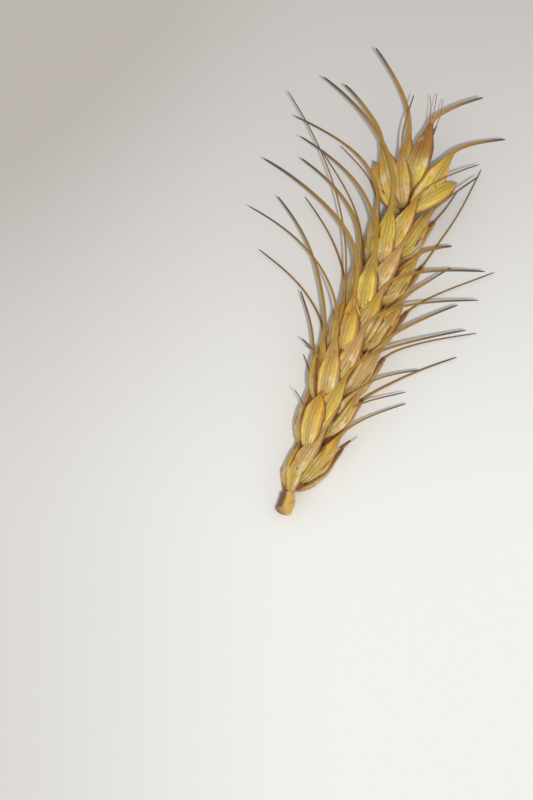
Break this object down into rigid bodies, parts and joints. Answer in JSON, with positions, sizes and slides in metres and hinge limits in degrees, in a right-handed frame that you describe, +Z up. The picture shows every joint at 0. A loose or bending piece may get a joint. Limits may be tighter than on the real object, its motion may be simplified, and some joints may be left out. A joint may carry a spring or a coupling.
{
  "type": "wheat ear",
  "caption": "Dry bearded wheat ear lying on a surface: alternating husked spikelets with long awns on a short stub of stalk.",
  "frame": {"origin": "middle of the ear's bounding box, on the surface that it lies on", "axes": "+Y along the ear from the cut stalk to the tip, +Z up from the surface, +X towards the right row of spikelets"},
  "size_m": [0.0538, 0.1054, 0.0101],
  "materials": {
    "husk_straw": "satin dry husk",
    "stalk_straw": "satin dry straw"
  },
  "bodies": {
    "root": {"stalk_and_rachis": "stalk_straw", "spikelet_01_left": "husk_straw", "spikelet_02_right": "husk_straw", "spikelet_03_left": "husk_straw", "spikelet_04_right": "husk_straw", "spikelet_05_left": "husk_straw", "spikelet_06_right": "husk_straw", "spikelet_07_left": "husk_straw", "spikelet_08_right": "husk_straw", "spikelet_09_left": "husk_straw", "spikelet_10_right": "husk_straw", "spikelet_11_left": "husk_straw", "spikelet_12_right": "husk_straw", "spikelet_13_terminal": "husk_straw"}
  },
  "joints": []
}
